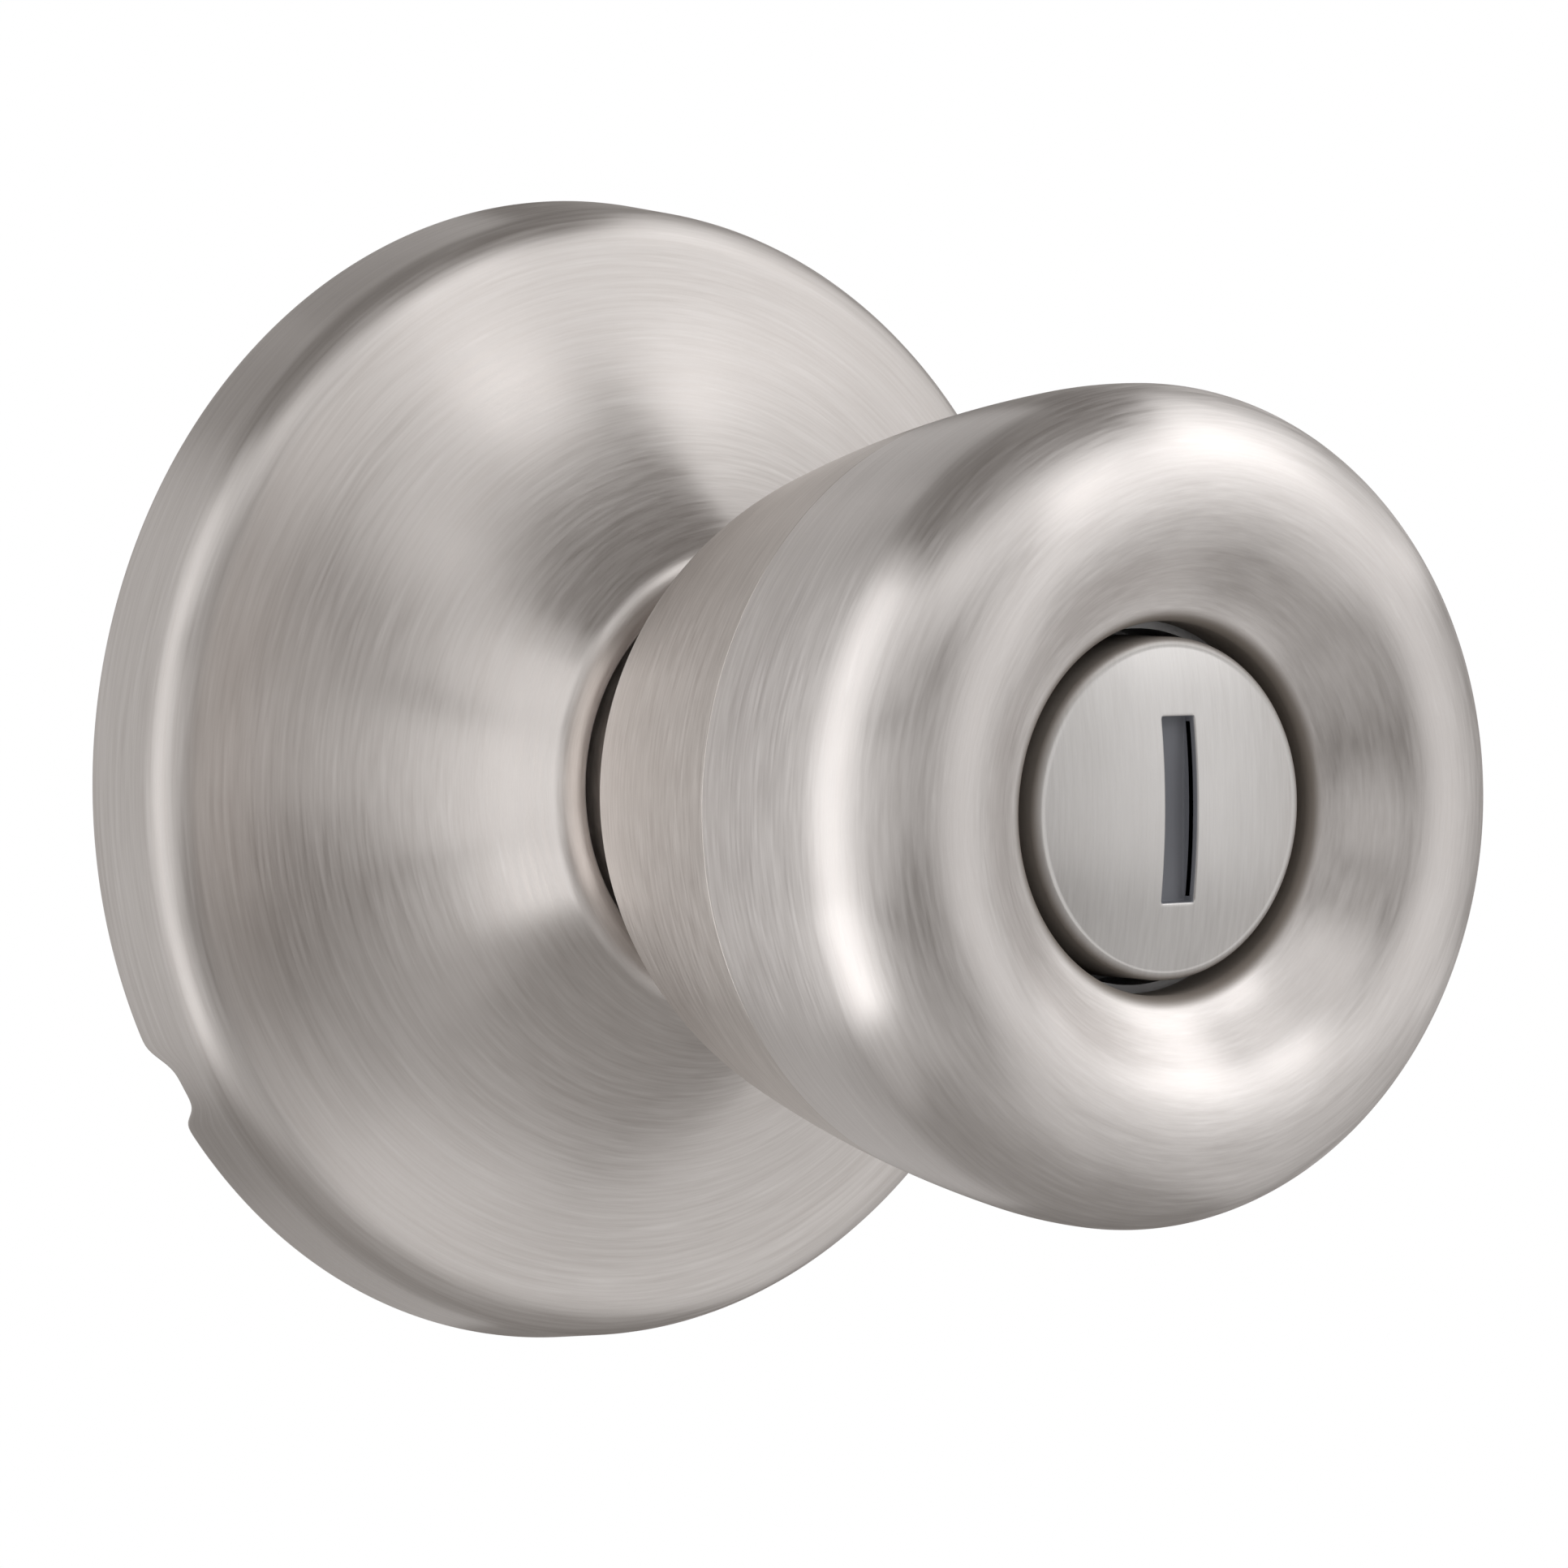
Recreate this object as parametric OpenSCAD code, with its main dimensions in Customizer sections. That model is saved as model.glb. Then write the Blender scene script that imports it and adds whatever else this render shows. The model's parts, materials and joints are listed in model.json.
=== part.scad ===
// Privacy door knob, outside half: a rose that covers the door bore, a sprung knob on a hollow
// shank, and a slotted emergency release plug in the knob's dished face.
// The back of the rose lies on the door face, which is the plane Y = 0. The knob points along -Y,
// +Z is up and +X is to the right for a person who faces the knob.

/* [Rose] */
// Diameter of the rose at the door face
rose_d = 67; // [65:0.5:70]
// How far the mouth of the rose stands off the door face
rose_h = 18.4; // [17.8:0.1:19]
// Height of the side band
rose_band_h = 4.1; // [3.8:0.1:4.6]
// Draft of the side band in degrees
rose_draft = 6.5; // [5:0.5:8]
// Radius of the rounded shoulder
rose_shoulder_r = 2.8; // [2.2:0.1:3.2]
// Slope of the rose's face next to the shoulder, in degrees
rose_face_slope = 12; // [10:1:14]
// Slope of the rose's face next to the mouth, in degrees
rose_hub_slope = 60; // [56:1:62]
// Radius of the lip that rolls into the mouth
rose_lip_r = 1.4; // [1.2:0.1:1.5]
// Diameter of the mouth
rose_mouth_d = 23; // [22.8:0.1:23.6]
// Sheet thickness of the rose
rose_wall = 0.9; // [0.7:0.1:1]
// Where the pry notch sits, in degrees anticlockwise from +X seen from the front
notch_angle = 212; // [200:1:340]
// Width of the pry notch at the door face
notch_w = 5.2; // [4:0.1:6]
// How far the pry notch reaches up the side band
notch_h = 1.7; // [1.2:0.1:2]

/* [Knob] */
// Largest diameter of the knob
knob_d = 46.2; // [45.6:0.1:47]
// Diameter of the short neck that enters the rose
neck_d = 22; // [21.6:0.1:22.2]
// Height at which the neck flares into the cone
neck_top = 18.5; // [18.3:0.1:18.7]
// Flare of the cone, in degrees from the axis
cone_angle = 38; // [37:0.5:39]
// Flare at the start of the flank, in degrees from the axis
flank_angle = 17; // [16.5:0.5:17.5]
// Radius of the long flank
flank_r = 111; // [108:1:113]
// Flare where the flank meets the crown, in degrees from the axis
crown_angle = 7.5; // [7:0.5:8]
// Radius of the crown
crown_r = 28; // [26:1:30]
// Radius of the rim, from the crown to the crest
rim_r = 6; // [5.8:0.1:6.2]
// How far the crest stands off the door face
crest_h = 58.7; // [58.3:0.1:59.2]
// Height of the joint between the front and the rear shell
seam_h = 42; // [40:0.5:44]
// Sheet thickness of both shells
shell_wall = 0.8; // [0.7:0.05:0.9]

/* [Dish] */
// Radius of the rim on its inner side
dish_rim_r = 5; // [4.6:0.1:5.4]
// Steepest slope of the dish, in degrees
dish_slope = 38; // [36:1:40]
// Radius of the hollow part of the dish
dish_hollow_r = 6; // [5.5:0.5:6.5]
// Slope of the dish next to the recess, in degrees
dish_end_slope = 20; // [18:1:22]
// Radius of the edge that rolls into the recess
recess_edge_r = 0.7; // [0.5:0.1:0.8]
// Diameter of the recess around the plug
recess_d = 20.4; // [20.2:0.1:20.8]
// Height of the bottom of the recess wall
recess_floor = 52.4; // [52:0.1:52.8]

/* [Release plug] */
// Diameter of the plug's head
plug_d = 18.7; // [18.4:0.1:19]
// Height of the plug's edge, below its rounding
plug_edge_h = 54.9; // [54.6:0.1:55.2]
// Rounding of the plug's edge
plug_edge_r = 0.5; // [0.4:0.1:0.6]
// Radius of the plug's domed face
plug_dome_r = 37; // [34:1:45]
// Length of the slot
slot_l = 10.1; // [8:0.1:11]
// Width of the slot
slot_w = 2.2; // [1.6:0.1:2.6]
// Depth of the slot below the middle of the dome
slot_depth = 3.2; // [2:0.1:3.4]
// Diameter of the plug's stem
stem_d = 8; // [7:0.5:8.5]
// Width of the flat release bar
bar_w = 4.2; // [3.6:0.1:4.4]
// Thickness of the release bar
bar_t = 1.4; // [1:0.1:1.8]
// How far the release bar reaches behind the door face
bar_reach = 43; // [40:1:46]

/* [Drive] */
// Outside diameter of the shank
shank_d = 16; // [15.5:0.1:16.2]
// Bore of the shank
shank_bore_d = 13.6; // [13:0.1:13.8]
// Radial running clearance of the shank in its bushings
run_clearance = 0.05; // [0.03:0.01:0.09]
// Width across the square spindle
spindle_w = 7.4; // [7:0.1:7.6]
// Wall of the spindle
spindle_wall = 1; // [0.8:0.05:1.05]
// How far the spindle reaches behind the door face
spindle_reach = 38; // [34:1:40]
// Distance from the axis to each mounting post
post_offset = 12.7; // [12.5:0.1:13]
// Diameter of each mounting post
post_d = 7; // [6:0.5:7]
// How far the posts reach behind the door face
post_reach = 21; // [16:1:21]
// Tapping diameter of the thread in each post
post_hole_d = 3.4; // [3:0.1:4]
// Depth of the thread in each post
post_hole_l = 18; // [12:1:18]

/* [Hidden] */
$fn = 96;
// Arcs are drawn with straight pieces that stay this close to them
arc_error = 0.01;

// Rose outline: the straight and the hollow stretch are solved so that the face ends at the lip
rose_r = rose_d / 2;
shoulder_start = [rose_r - rose_band_h * tan(rose_draft), rose_band_h];
shoulder_end = shoulder_start
    + rose_shoulder_r * [sin(rose_face_slope) - cos(rose_draft), cos(rose_face_slope) - sin(rose_draft)];
lip_start = [rose_mouth_d / 2 + rose_lip_r * (1 + sin(rose_hub_slope)),
    rose_h - rose_lip_r * (1 - cos(rose_hub_slope))];
face_run = shoulder_end[0] - lip_start[0];
face_rise = lip_start[1] - shoulder_end[1];
hollow_run = sin(rose_hub_slope) - sin(rose_face_slope);
hollow_rise = cos(rose_face_slope) - cos(rose_hub_slope);
face_det = hollow_run * sin(rose_face_slope) - hollow_rise * cos(rose_face_slope);
face_hollow_r = (face_run * sin(rose_face_slope) - face_rise * cos(rose_face_slope)) / face_det;
face_flat_l = (hollow_run * face_rise - hollow_rise * face_run) / face_det;
lip_drop = 2.2;

// Knob outline: the cone's length and the radius above it are solved so that the crown is reached
knob_r = knob_d / 2;
neck_r = neck_d / 2;
neck_low = 14.2;
crown_h = crest_h - rim_r;
flank_top = [knob_r - crown_r * (1 - cos(crown_angle)), crown_h - crown_r * sin(crown_angle)];
flank_low = flank_top
    - flank_r * [cos(crown_angle) - cos(flank_angle), sin(flank_angle) - sin(crown_angle)];
flare_run = flank_low[0] - neck_r;
flare_rise = flank_low[1] - neck_top;
bend_run = cos(flank_angle) - cos(cone_angle);
bend_rise = sin(cone_angle) - sin(flank_angle);
flare_det = sin(cone_angle) * bend_rise - cos(cone_angle) * bend_run;
cone_l = (flare_run * bend_rise - flare_rise * bend_run) / flare_det;
bend_r = (sin(cone_angle) * flare_rise - cos(cone_angle) * flare_run) / flare_det;

// Dish outline: the straight slope is solved so that the dish ends at the recess
recess_r = recess_d / 2;
dish_flat_l = (knob_r - rim_r - recess_r
    - recess_edge_r * (1 - sin(dish_end_slope))
    - dish_rim_r * sin(dish_slope)
    - dish_hollow_r * (sin(dish_slope) - sin(dish_end_slope))) / cos(dish_slope);

// Plug
plug_r = plug_d / 2;
plug_back = 50.6;
dome_edge_r = plug_r - plug_edge_r;
dome_h = plug_dome_r - sqrt(plug_dome_r * plug_dome_r - dome_edge_r * dome_edge_r);
plug_top = plug_edge_h + plug_edge_r + dome_h;
stem_r = stem_d / 2;
stem_low = 41;
bar_top = 47;

// Heights of the pieces between the door face and the knob
liner_t = 1.5;
liner_r = 31.3;
liner_rim_h = 5;
cage_r = 16.2;
cage_wall = 1.2;
cage_floor_h = liner_t + cage_wall;
cage_top = 11;
cover_top = cage_top + cage_wall;
shank_r = shank_d / 2;
bush_bore_r = shank_r + run_clearance;
bush_r = 9.6;
flange_r = bush_r + 1.6;
cam_low = 3.1;
cam_top = 4.9;
cam_r = 10.8;
cam_tab_r = 14.4;
cam_tab_w = 6;
stop_low_r = 13;
stop_start = 76;
stop_sweep = 24;
ring_h = 1;
ring_t = 0.9;
ring_groove_r = 7.4;
shank_low = -1;
shank_top = 46;
shank_bore_r = shank_bore_d / 2;
adapter_low = 1;
adapter_top = 21;
spindle_top = 20;
pin_h = 16.4;
pin_r = 1.25;
housing_floor_h = 46;
housing_floor_t = 2;
housing_r = 10.9;
housing_bore_r = 9.75;
clip_h = 44.6;
clip_t = 0.8;
clip_groove_r = 3.2;
spring_r = 13;
spring_wire_r = 0.7;
spring_turns = 3;
spring_low = 6.2;
spring_pitch = 1.5;
skin = 0.01;

// Unit vector at an angle, in the radius and height plane
function dir(a) = [cos(a), sin(a)];

// Number of pieces that an arc is drawn with
function pieces(leg) = ceil(abs(leg[1]) / (2 * acos(1 - arc_error / leg[0])));

// Point on an arc that starts at p with heading a, after a turn of t degrees; t > 0 turns left
function arc_at(p, a, r, t) = p + r * (dir(a + 90 * sign(t)) - dir(a + 90 * sign(t) + t));

// End of one leg: [length] is straight, [radius, turn] is an arc
function leg_end(p, a, leg) = len(leg) == 1 ? p + leg[0] * dir(a) : arc_at(p, a, leg[0], leg[1]);
function leg_turn(leg) = len(leg) == 1 ? 0 : leg[1];

// Outline that starts at p with heading a and follows the legs one after another
function walk(p, a, legs, i = 0) = i == len(legs)
    ? [p]
    : concat(
        [p],
        len(legs[i]) == 1
            ? []
            : [for (k = [1 : 1 : pieces(legs[i]) - 1])
                arc_at(p, a, legs[i][0], legs[i][1] * k / pieces(legs[i]))],
        walk(leg_end(p, a, legs[i]), a + leg_turn(legs[i]), legs, i + 1));

// The same legs, moved to the left of their path by t
function inset(legs, t) = [for (leg = legs)
    len(leg) == 1 ? leg : [leg[0] - sign(leg[1]) * t, leg[1]]];
function left_of(p, a, t) = p + t * dir(a + 90);
function reversed(list) = [for (i = [len(list) - 1 : -1 : 0]) list[i]];

// Closed section of a sheet of thickness t whose outer side is the path
function sheet(p, a, legs, t) = concat(
    walk(p, a, legs),
    reversed(walk(left_of(p, a, t), a, inset(legs, t))));

rose_path = [
    [rose_band_h / cos(rose_draft)],
    [rose_shoulder_r, 90 - rose_draft - rose_face_slope],
    [face_flat_l],
    [face_hollow_r, rose_face_slope - rose_hub_slope],
    [rose_lip_r, 90 + rose_hub_slope],
    [lip_drop]
];
rear_path = [
    [cone_l],
    [bend_r, cone_angle - flank_angle],
    [flank_r, seam_turn()]
];
front_path = [
    [flank_r, flank_angle - crown_angle - seam_turn()],
    [crown_r, crown_angle],
    [rim_r, 90],
    [dish_rim_r, dish_slope],
    [dish_flat_l],
    [dish_hollow_r, dish_end_slope - dish_slope],
    [recess_edge_r, 90 - dish_end_slope],
    [recess_wall_l()]
];

// How far round the flank the seam lies, and where it is
function seam_turn() = flank_angle - asin(sin(flank_angle) - (seam_h - flank_low[1]) / flank_r);
function seam_heading() = 90 - flank_angle + seam_turn();
function seam_point() = arc_at(flank_low, 90 - flank_angle, flank_r, seam_turn());

// Length of the straight recess wall below the rolled edge
function recess_wall_l() = crest_h
    - dish_rim_r * (1 - cos(dish_slope))
    - dish_flat_l * sin(dish_slope)
    - dish_hollow_r * (cos(dish_end_slope) - cos(dish_slope))
    - recess_edge_r * cos(dish_end_slope)
    - recess_floor;

// Turns a section about the axis of the knob, which points along -Y
module place() rotate([90, 0, 0]) children();
module turned(points) rotate_extrude() polygon(points);
module ring(r_in, r_out, low, high) rotate_extrude() translate([r_in, low]) square([r_out - r_in, high - low]);
module disc(r, low, high) translate([0, 0, low]) cylinder(r = r, h = high - low);

module rose() color([0.74, 0.72, 0.69]) place() difference() {
    rotate_extrude() intersection() {
        polygon(sheet([rose_r, 0], 90 + rose_draft, rose_path, rose_wall));
        square([rose_d, rose_h + 1]);
    }
    // The notch is round, so its radius follows from its width and its height
    notch_r = (notch_w * notch_w / 4 + notch_h * notch_h) / (2 * notch_h);
    rotate([0, 0, notch_angle]) translate([rose_r - 5, 0, notch_h - notch_r])
        rotate([0, 90, 0]) cylinder(r = notch_r, h = 10);
}

module rose_liner() color([0.66, 0.67, 0.68]) place() {
    rim_wall = 0.8;
    nib_reach = 32.1;
    nib_r = 0.8;
    difference() {
        union() {
            turned([[0, 0], [liner_r, 0], [liner_r, liner_rim_h], [liner_r - rim_wall, liner_rim_h],
                [liner_r - rim_wall, liner_t], [0, liner_t]]);
            // Three nibs on the rim hold the rose by its side band
            for (a = [90, 330, 250])
                rotate([0, 0, a]) translate([liner_r - rim_wall / 2, 0, 3]) rotate([0, 90, 0])
                    cylinder(r = nib_r, h = nib_reach - liner_r + rim_wall / 2);
        }
        // The flange of the rear bushing and the collars of the posts sit in one opening
        disc(flange_r + 0.1, -1, liner_t + 1);
        at_posts() disc(post_d / 2 + 0.1, -1, liner_t + 1);
        at_rivets() disc(rivet_r(), -1, liner_t + 1);
    }
}

module at_posts() for (side = [-1, 1]) translate([side * post_offset, 0, 0]) children();
module at_rivets() for (a = [90, 210, 330]) rotate([0, 0, a]) translate([21.5, 0, 0]) children();
function post_neck_r() = 2.4;
function post_collar_r() = 3.3;
function rivet_r() = 1.2;

module spring_cage() color([0.72, 0.72, 0.7]) place() difference() {
    union() {
        disc(24, liner_t, cage_floor_h);
        ring(cage_r - cage_wall, cage_r, liner_t, cage_top);
        // Two stops end the travel of the cam's tab
        for (a = [stop_start, -stop_start - stop_sweep])
            rotate([0, 0, a - 90]) rotate_extrude(angle = stop_sweep)
                translate([stop_low_r, liner_t]) square([cage_r - stop_low_r - skin, 3.8]);
    }
    disc(bush_r, 0, cage_floor_h + 1);
    at_posts() disc(post_neck_r(), 0, cage_floor_h + 1);
    at_rivets() disc(rivet_r(), 0, cage_floor_h + 1);
}

module cage_cover() color([0.7, 0.7, 0.68]) place() ring(bush_r, cage_r, cage_top, cover_top);

// Flanged bushing between two heights, with its flange above or below
module bushing(low, high, flange_low, flange_high) {
    ring(bush_bore_r, bush_r, low, high);
    ring(bush_bore_r, flange_r, flange_low, flange_high);
}

module rear_bushing() color([0.92, 0.91, 0.86]) place() difference() {
    bushing(ring_h + 0.1, cage_floor_h, ring_h + 0.1, liner_t);
    at_posts() disc(post_d / 2 + 0.1, 0, liner_t);
}
module front_bushing() color([0.92, 0.91, 0.86]) place()
    bushing(cage_top, cover_top, cover_top, cover_top + 0.8);

module thrust_washer() color([0.8, 0.8, 0.78]) place()
    ring(bush_bore_r + 0.1, 10.6, cover_top + 0.8, cover_top + 1.5);

// Torsion spring: a round wire on a helix, whose two ends stand up the cage wall
module return_spring() color([0.45, 0.46, 0.48]) place() {
    sides = 8;
    steps = 20 * spring_turns;
    turn = 360 * (spring_turns - 0.25);
    rings = [for (i = [0 : steps]) let (a = turn * i / steps - 90 - turn / 2)
        [for (k = [0 : sides - 1]) let (b = 360 * k / sides)
            [(spring_r + spring_wire_r * cos(b)) * cos(a),
             (spring_r + spring_wire_r * cos(b)) * sin(a),
             spring_low + spring_pitch * turn / 360 * i / steps + spring_wire_r * sin(b)]]];
    side_faces = [for (i = [0 : steps - 1]) for (k = [0 : sides - 1])
        let (n = (k + 1) % sides)
        [i * sides + k, (i + 1) * sides + k, (i + 1) * sides + n, i * sides + n]];
    ends = [[for (k = [0 : sides - 1]) k], [for (k = [sides - 1 : -1 : 0]) steps * sides + k]];
    polyhedron([for (r = rings) for (p = r) p], concat(side_faces, ends));
}

module mounting_posts() color([0.64, 0.65, 0.67]) place() at_posts() difference() {
    union() {
        disc(post_d / 2, -post_reach, 0);
        disc(post_collar_r(), 0, liner_t);
        disc(post_neck_r(), liner_t, cage_floor_h);
    }
    translate([0, 0, -post_reach - 1]) cylinder(d = post_hole_d, h = post_hole_l + 1);
}

module cage_rivets() color([0.6, 0.6, 0.6]) place() at_rivets() {
    disc(rivet_r(), 0, cage_floor_h);
    disc(2, cage_floor_h, cage_floor_h + 0.8);
}

module knob_rear_shell() color([0.7, 0.67, 0.64]) place() {
    neck_wall = ring_wall();
    ring(neck_r - neck_wall, neck_r, neck_low, neck_top);
    turned(concat(
        walk([neck_r, neck_top], 90 - cone_angle, rear_path),
        reversed(walk(left_of([neck_r, neck_top], 90 - cone_angle, shell_wall),
            90 - cone_angle, inset(rear_path, shell_wall))),
        [[neck_r - neck_wall, neck_top]]));
    turned(tongue_section());
}
function ring_wall() = 1.2;

// Point inside the flank: t degrees past the seam, at a depth under the outer surface
function under_flank(t, depth) = seam_point() + flank_r * dir(seam_heading() + 90)
    - (flank_r - depth) * dir(seam_heading() + 90 + t);

// Section of the tongue that starts in the rear shell's wall and carries the edge of the front shell
function tongue_section() = [
    under_flank(-1.4, shell_wall / 2),
    under_flank(-0.1, shell_wall / 2),
    under_flank(-0.1, shell_wall + 0.05),
    under_flank(1.4, shell_wall + 0.05),
    under_flank(1.4, shell_wall + 0.7),
    under_flank(-1.4, shell_wall + 0.7)
];

module knob_front_shell() color([0.76, 0.74, 0.71]) place()
    turned(sheet(seam_point(), seam_heading(), front_path, shell_wall));

module knob_core() color([0.62, 0.62, 0.6]) place() difference() {
    union() {
        disc(neck_r - ring_wall(), neck_low, 24);
        turned([[shank_r, 24], [neck_r - ring_wall(), 24], [14.6, 27], [14.6, 29], [shank_r, 29]]);
    }
    disc(shank_r, neck_low - 1, 30);
}

module shank() color([0.68, 0.69, 0.7]) place() difference() {
    disc(shank_r, shank_low, shank_top);
    disc(shank_bore_r, shank_low - 1, shank_top + 1);
    rotate_extrude() translate([ring_groove_r, ring_h - ring_t]) square([2, ring_t]);
    spindle_pin_hole();
}

module spindle_pin_hole() translate([0, 0, pin_h]) rotate([90, 0, 0])
    translate([0, 0, spindle_w / 2]) cylinder(r = pin_r, h = 10);

module drive_cam() color([0.58, 0.59, 0.6]) place() difference() {
    union() {
        disc(cam_r, cam_low, cam_top);
        translate([-cam_tab_w / 2, -cam_tab_r, cam_low]) cube([cam_tab_w, cam_tab_r, cam_top - cam_low]);
    }
    disc(shank_r, 0, cam_top + 1);
}

module retaining_ring() color([0.3, 0.31, 0.33]) place() difference() {
    ring(ring_groove_r, 9, ring_h - ring_t, ring_h);
    translate([-1.5, 0, ring_h - ring_t - 1]) cube([3, 12, ring_t + 2]);
}

module spindle_adapter() color([0.6, 0.58, 0.5]) place() difference() {
    disc(shank_bore_r, adapter_low, adapter_top);
    translate([-spindle_w / 2, -spindle_w / 2, 0]) cube([spindle_w, spindle_w, adapter_top + 1]);
    spindle_pin_hole();
}

module spindle() color([0.7, 0.71, 0.72]) place() difference() {
    translate([-spindle_w / 2, -spindle_w / 2, -spindle_reach])
        cube([spindle_w, spindle_w, spindle_reach + spindle_top]);
    inner = spindle_w - 2 * spindle_wall;
    translate([-inner / 2, -inner / 2, -spindle_reach - 1])
        cube([inner, inner, spindle_reach + spindle_top + 2]);
}

module spindle_pin() color([0.5, 0.5, 0.52]) place() translate([0, 0, pin_h]) rotate([90, 0, 0])
    translate([0, 0, spindle_w / 2]) cylinder(r = pin_r, h = shank_r - spindle_w / 2 - 0.2);

module plug_housing() color([0.62, 0.62, 0.6]) place() difference() {
    union() {
        disc(housing_r, housing_floor_h, recess_floor);
        ring(shank_r, housing_r, 40, housing_floor_h);
    }
    disc(housing_bore_r, housing_floor_h + housing_floor_t, recess_floor + 1);
    disc(stem_r + run_clearance, housing_floor_h - 1, housing_floor_h + housing_floor_t + 1);
}

module housing_ring() color([0.6, 0.6, 0.58]) place()
    turned([[housing_r, 46.5], [15.5, 46.5], [15.5, 48], [12, 50], [housing_r, 50]]);

module plug_wave_washer() color([0.5, 0.51, 0.53]) place()
    ring(stem_r + 0.5, housing_bore_r - 0.5, housing_floor_h + housing_floor_t,
        housing_floor_h + housing_floor_t + 0.6);

module release_plug() color([0.76, 0.75, 0.73]) place() difference() {
    rotate_extrude() intersection() {
        union() {
            translate([0, plug_back]) square([plug_r, plug_edge_h - plug_back]);
            translate([0, plug_back]) square([dome_edge_r, plug_edge_h + plug_edge_r - plug_back]);
            translate([dome_edge_r, plug_edge_h]) circle(r = plug_edge_r);
            intersection() {
                translate([0, plug_top - plug_dome_r]) circle(r = plug_dome_r, $fn = 240);
                translate([0, plug_edge_h]) square([dome_edge_r, 3]);
            }
            translate([0, stem_low]) square([stem_r, plug_back - stem_low]);
        }
        square([plug_r, plug_top + 1]);
    }
    translate([-slot_w / 2, -slot_l / 2, plug_top - slot_depth]) cube([slot_w, slot_l, slot_depth + 1]);
    translate([-bar_w / 2, -bar_t / 2, stem_low - 1]) cube([bar_w, bar_t, bar_top - stem_low + 1]);
    rotate_extrude() translate([clip_groove_r, clip_h]) square([2, clip_t]);
}

module plug_clip() color([0.35, 0.35, 0.37]) place() difference() {
    ring(clip_groove_r, 6.2, clip_h, clip_h + clip_t);
    translate([-1.6, 0, clip_h - 1]) cube([3.2, 8, clip_t + 2]);
}

module release_bar() color([0.66, 0.67, 0.69]) place()
    translate([-bar_w / 2, -bar_t / 2, -bar_reach]) cube([bar_w, bar_t, bar_reach + bar_top]);

rose();
rose_liner();
spring_cage();
cage_cover();
rear_bushing();
front_bushing();
thrust_washer();
return_spring();
mounting_posts();
cage_rivets();
knob_rear_shell();
knob_front_shell();
knob_core();
shank();
drive_cam();
retaining_ring();
spindle_adapter();
spindle();
spindle_pin();
plug_housing();
housing_ring();
plug_wave_washer();
release_plug();
plug_clip();
release_bar();
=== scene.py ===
import json
from math import asin, cos, degrees, pi, radians, sin, tan

import bpy
import numpy as np
from mathutils import Matrix, Vector


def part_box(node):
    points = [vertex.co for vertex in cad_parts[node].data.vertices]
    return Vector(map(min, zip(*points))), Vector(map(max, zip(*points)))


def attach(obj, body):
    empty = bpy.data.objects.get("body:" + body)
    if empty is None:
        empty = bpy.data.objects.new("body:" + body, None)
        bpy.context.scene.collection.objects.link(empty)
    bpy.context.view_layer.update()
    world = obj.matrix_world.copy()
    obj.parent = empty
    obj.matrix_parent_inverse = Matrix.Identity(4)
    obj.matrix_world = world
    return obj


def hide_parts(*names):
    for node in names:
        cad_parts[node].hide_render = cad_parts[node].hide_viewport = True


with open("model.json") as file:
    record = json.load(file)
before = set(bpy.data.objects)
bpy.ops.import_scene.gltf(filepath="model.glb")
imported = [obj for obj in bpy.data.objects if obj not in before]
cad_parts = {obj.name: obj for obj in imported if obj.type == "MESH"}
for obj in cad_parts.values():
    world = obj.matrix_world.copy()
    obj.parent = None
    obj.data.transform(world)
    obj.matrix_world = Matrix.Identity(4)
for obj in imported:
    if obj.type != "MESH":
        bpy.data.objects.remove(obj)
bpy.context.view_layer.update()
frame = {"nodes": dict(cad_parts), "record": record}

# Privacy door knob, outside half, in brushed satin nickel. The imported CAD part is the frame: the
# rose, both knob shells and the release plug are drawn again here as fine surfaces, and every other
# part keeps its CAD shape and gets its finish.
# Outlines are in millimetres, as (radius, height off the door face), and meshes are in metres. The
# knob points along -Y, +Z is up, and an angle round the axis is counted from +X towards +Z.

MM = 0.001


def reach(node):
    """Largest radius, lowest height and highest height of a CAD node, in millimetres."""
    low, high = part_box(node)
    return high[0] / MM, -high[1] / MM, -low[1] / MM


# ---------------------------------------------------------------- sizes

ROSE_R, _, ROSE_H = reach("rose")
ROSE_BAND_H = 4.1
ROSE_DRAFT = 6.5
SHOULDER_R = 2.8
FACE_SLOPE = 12
HUB_SLOPE = 60
LIP_R = 1.4
LIP_DROP = 2.2
MOUTH_R = 11.5
ROSE_WALL = 0.9
ROSE_EDGE = 0.18
NOTCH_ANGLE = 211.3
NOTCH_W = 4.3
NOTCH_H = 1.7
NOTCH_REACH = 2.2

KNOB_R, SEAM_H, CREST_H = reach("knob_front_shell")
NECK_R = 11
NECK_LOW = reach("knob_rear_shell")[1]
NECK_TOP = 18.5
NECK_WALL = 1.2
CONE_ANGLE = 38
FLANK_ANGLE = 17
FLANK_R = 111
CROWN_ANGLE = 7.5
CROWN_R = 28
RIM_R = 6
SHELL_WALL = 0.8
# a thicker front wall would turn over on the inside of the recess edge
FRONT_WALL = 0.65
SEAM_EDGE = 0.05
KNOB_SIDES = 320
DISH_RIM_R = 5
DISH_SLOPE = 38
DISH_HOLLOW_R = 6
DISH_END_SLOPE = 20
RECESS_EDGE_R = 0.7
RECESS_R = 10.2
RECESS_FLOOR = 52.4

PLUG_R, STEM_LOW, PLUG_TOP = reach("release_plug")
PLUG_EDGE_R = 0.5
PLUG_EDGE_H = 54.9
PLUG_BACK = 50.6
DOME_R = 37
STEM_R = 4
DOME_RINGS = 39
SLOT_L = 10.1
SLOT_W = 2.2
SLOT_DEPTH = 1.2
SLOT_CORNER_R = 0.12
SLOT_ROUNDING = 0.14


# ---------------------------------------------------------------- camera, floor and light

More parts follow.
